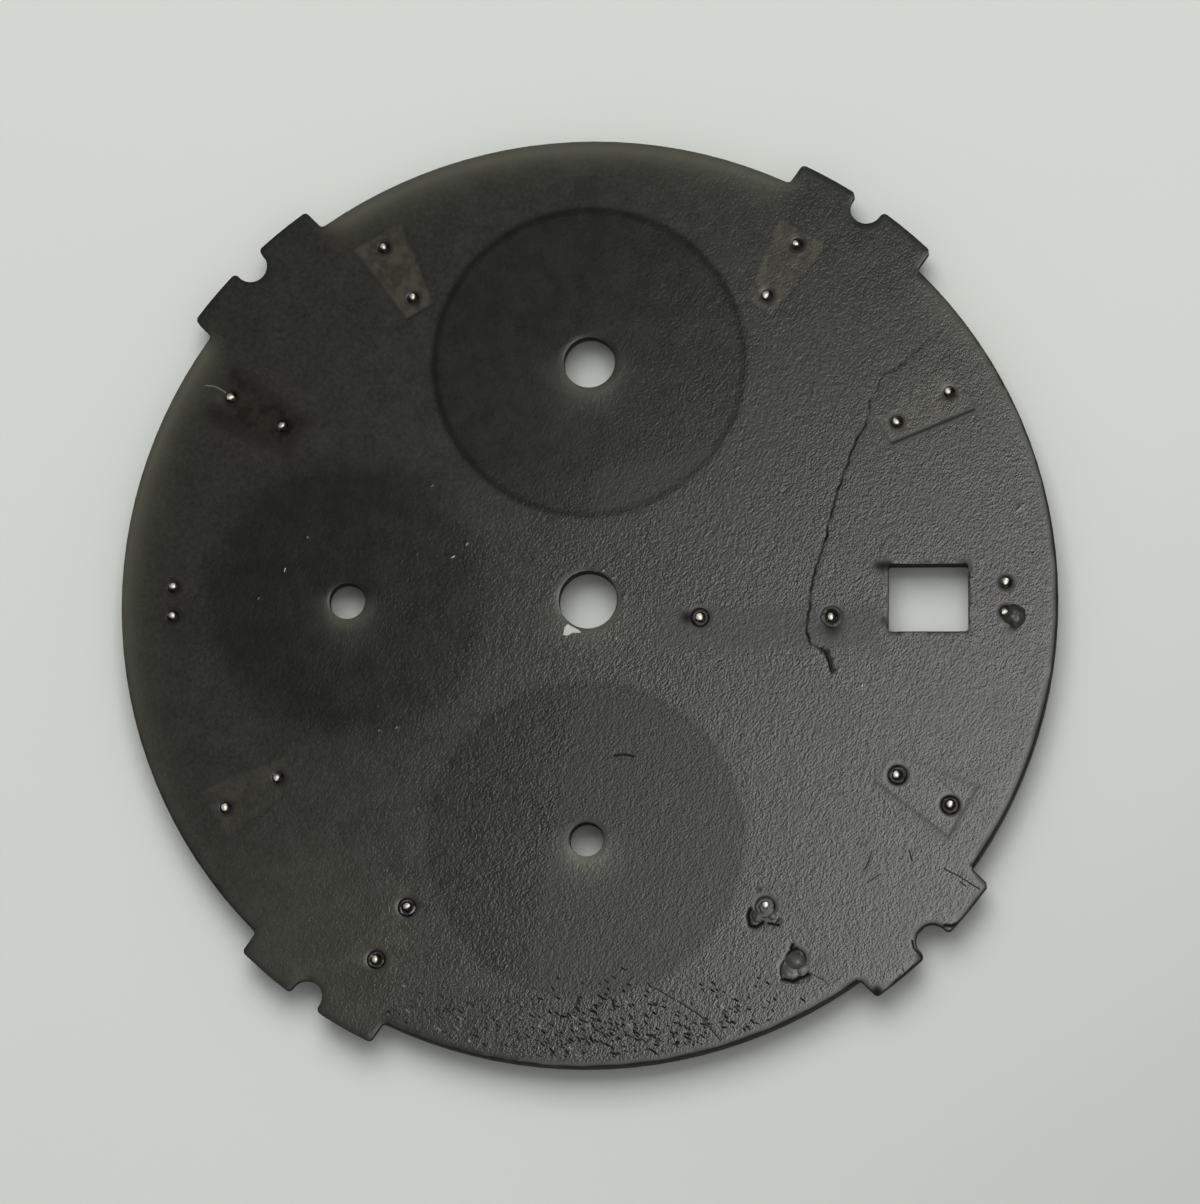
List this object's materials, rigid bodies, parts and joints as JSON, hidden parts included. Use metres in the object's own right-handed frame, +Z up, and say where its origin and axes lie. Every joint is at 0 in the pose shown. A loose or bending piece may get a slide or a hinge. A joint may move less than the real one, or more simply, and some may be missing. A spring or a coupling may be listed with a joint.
{
  "type": "watch dial",
  "caption": "Round chronograph dial of smoked plastic with applied hour markers, sunk sub-dial discs, a date window and notched tabs on its rim, shown back up.",
  "frame": {"origin": "on the axis of the centre hole, on the surface that the applied markers lie on", "axes": "+Z up through the plate to its back; +X towards three o'clock; +Y towards six o'clock"},
  "size_m": [0.033, 0.033, 0.0015],
  "materials": {
    "plate": "fine moulded grain, slightly see-through smoke grey",
    "subdial": "matt black",
    "marker": "bright nickel plating",
    "inlay": "matt, light-storing",
    "cement": "set cement, slightly glossy"
  },
  "bodies": {
    "root": {"dial_plate": "plate", "subdial_disc_six": "subdial", "subdial_disc_nine": "subdial", "subdial_disc_twelve": "subdial", "hour_marker_01": "marker", "hour_marker_02": "marker", "hour_marker_03": "marker", "hour_marker_04": "marker", "hour_marker_05": "marker", "hour_marker_07": "marker", "hour_marker_08": "marker", "hour_marker_09": "marker", "hour_marker_10": "marker", "hour_marker_11": "marker", "marker_inlay_01": "inlay", "marker_inlay_02": "inlay", "marker_inlay_03": "inlay", "marker_inlay_04": "inlay", "marker_inlay_05": "inlay", "marker_inlay_07": "inlay", "marker_inlay_08": "inlay", "marker_inlay_09": "inlay", "marker_inlay_10": "inlay", "marker_inlay_11": "inlay", "name_plaque": "marker", "foot_cement": "cement", "cement_dab": "cement"}
  },
  "joints": []
}
